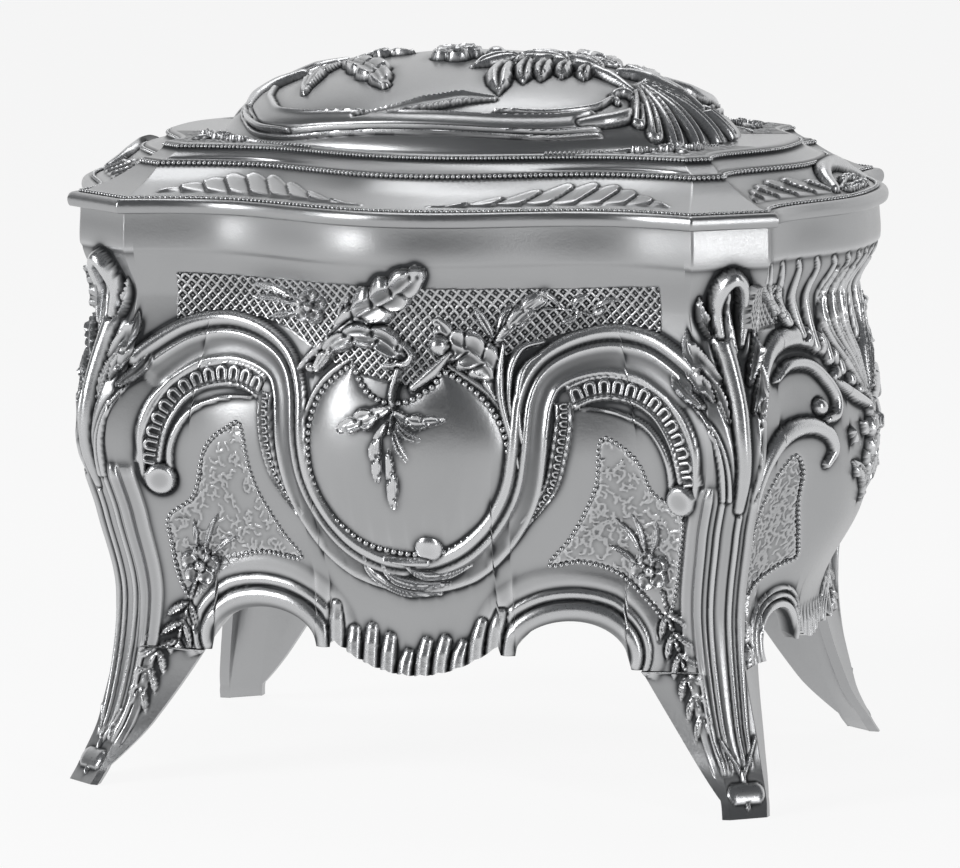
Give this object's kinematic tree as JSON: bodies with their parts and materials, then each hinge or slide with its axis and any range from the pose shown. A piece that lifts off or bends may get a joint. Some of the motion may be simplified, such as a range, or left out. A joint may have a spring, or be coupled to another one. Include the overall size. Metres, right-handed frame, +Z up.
{
  "type": "rosary box",
  "caption": "Cast pewter-finish casket with a bowed body on four splayed legs, scroll and leaf relief, and a hinged domed lid.",
  "frame": {"origin": "centre of the overall box, on the surface that the four feet stand on", "axes": "+Z up, the box's front faces -Y, +X along its length to the right as seen from the front"},
  "size_m": [0.1528, 0.1228, 0.1351],
  "materials": {
    "cast_metal": "satin cast pewter with dark patina in the hollows",
    "lid_metal": "satin cast pewter with dark patina in the hollows",
    "hinge_metal": "satin",
    "sheet_metal": "dull grey",
    "velvet": "short velvet pile"
  },
  "bodies": {
    "box": {"front_wall": "cast_metal", "back_wall": "cast_metal", "left_wall": "cast_metal", "right_wall": "cast_metal", "front_left_leg": "cast_metal", "front_right_leg": "cast_metal", "rear_left_leg": "cast_metal", "rear_right_leg": "cast_metal", "base_plate": "sheet_metal", "floor_pad": "velvet", "front_lining": "velvet", "back_lining": "velvet", "left_lining": "velvet", "right_lining": "velvet", "hinge_body_leaf": "hinge_metal", "hinge_pin": "hinge_metal", "body_rivets": "hinge_metal"},
    "lid": {"lid_shell": "lid_metal", "lid_lining": "velvet", "hinge_lid_leaf": "hinge_metal", "lid_rivets": "hinge_metal"}
  },
  "joints": [
    {"name": "lid_hinge", "type": "hinge", "parent": "box", "child": "lid", "pos_m": [0, 0.0599, 0.1067], "axis": [-1, 0, 0], "range_deg": [0, 100]}
  ]
}
